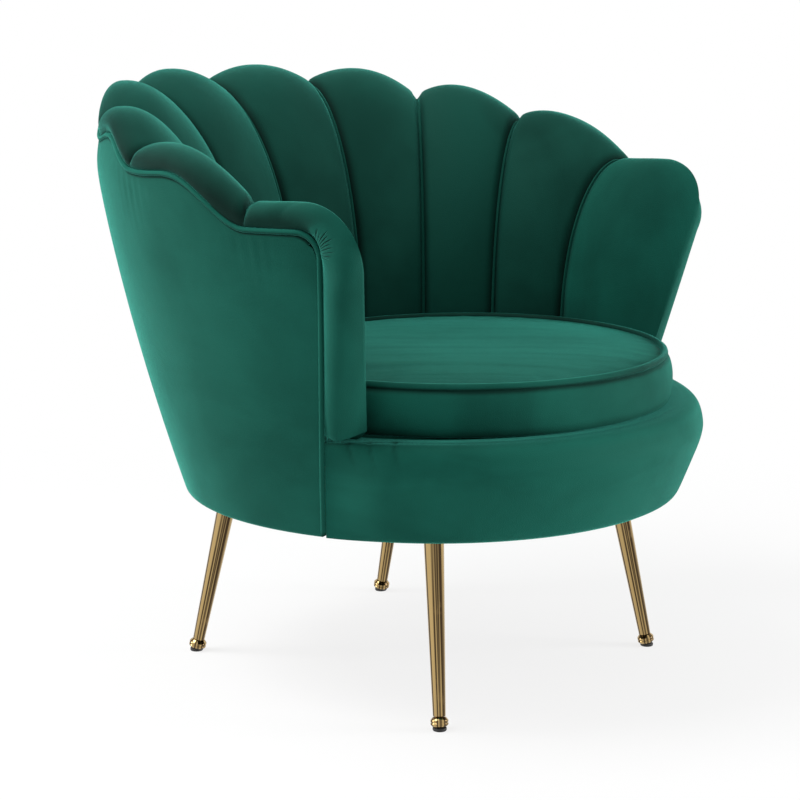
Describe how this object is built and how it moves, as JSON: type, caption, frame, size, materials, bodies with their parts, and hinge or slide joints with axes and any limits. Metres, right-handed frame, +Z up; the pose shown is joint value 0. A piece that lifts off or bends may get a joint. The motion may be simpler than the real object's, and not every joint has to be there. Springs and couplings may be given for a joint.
{
  "type": "armchair",
  "caption": "Upholstered tub armchair with a scalloped channelled back that turns down into the arms, a loose round seat cushion and splayed metal legs.",
  "frame": {"origin": "on the floor, under the middle of the chair's width and depth", "axes": "+Z up, the sitter faces -Y, +X is the sitter's left"},
  "size_m": [0.806, 0.7764, 0.756],
  "materials": {
    "channel_velvet": "cut pile velvet",
    "cover_velvet": "cut pile velvet",
    "welt_velvet": "cut pile velvet over cord",
    "seat_velvet": "cut pile velvet",
    "cushion_velvet": "cut pile velvet",
    "foam": "open cell foam",
    "zip": "woven tape and nylon coil",
    "dust_cloth": "non-woven cloth",
    "plywood": "sanded, unfinished",
    "gold": "polished plating",
    "zinc": "zinc plated",
    "pad_rubber": "matt black"
  },
  "bodies": {
    "chair": {"back_frame": "plywood", "outside_cover": "cover_velvet", "outside_welt": "welt_velvet", "back_channel_left_1": "channel_velvet", "back_channel_left_2": "channel_velvet", "back_channel_left_3": "channel_velvet", "back_channel_left_4": "channel_velvet", "arm_channel_left": "channel_velvet", "back_channel_right_1": "channel_velvet", "back_channel_right_2": "channel_velvet", "back_channel_right_3": "channel_velvet", "back_channel_right_4": "channel_velvet", "arm_channel_right": "channel_velvet", "base_board": "plywood", "seat_board": "plywood", "deck_pad": "seat_velvet", "dust_cover": "dust_cloth", "apron_board": "plywood", "apron": "seat_velvet", "base_block_rear": "plywood", "base_block_left": "plywood", "base_block_front": "plywood", "base_block_right": "plywood", "foot_pad_front_left": "pad_rubber", "glide_front_left": "gold", "leg_front_left": "gold", "leg_plate_front_left": "zinc", "tee_nut_front_left": "zinc", "foot_pad_front_right": "pad_rubber", "glide_front_right": "gold", "leg_front_right": "gold", "leg_plate_front_right": "zinc", "tee_nut_front_right": "zinc", "foot_pad_rear_left": "pad_rubber", "glide_rear_left": "gold", "leg_rear_left": "gold", "leg_plate_rear_left": "zinc", "tee_nut_rear_left": "zinc", "foot_pad_rear_right": "pad_rubber", "glide_rear_right": "gold", "leg_rear_right": "gold", "leg_plate_rear_right": "zinc", "tee_nut_rear_right": "zinc"},
    "cushion": {"cushion_core": "foam", "cushion_top_panel": "cushion_velvet", "cushion_bottom_panel": "cushion_velvet", "cushion_boxing": "cushion_velvet", "cushion_top_welt": "welt_velvet", "cushion_bottom_welt": "welt_velvet", "cushion_zip": "zip"}
  },
  "joints": [
    {"name": "cushion_lift", "type": "slide", "parent": "chair", "child": "cushion", "axis": [0, 0, 1], "range_m": [0, 0.3]}
  ]
}
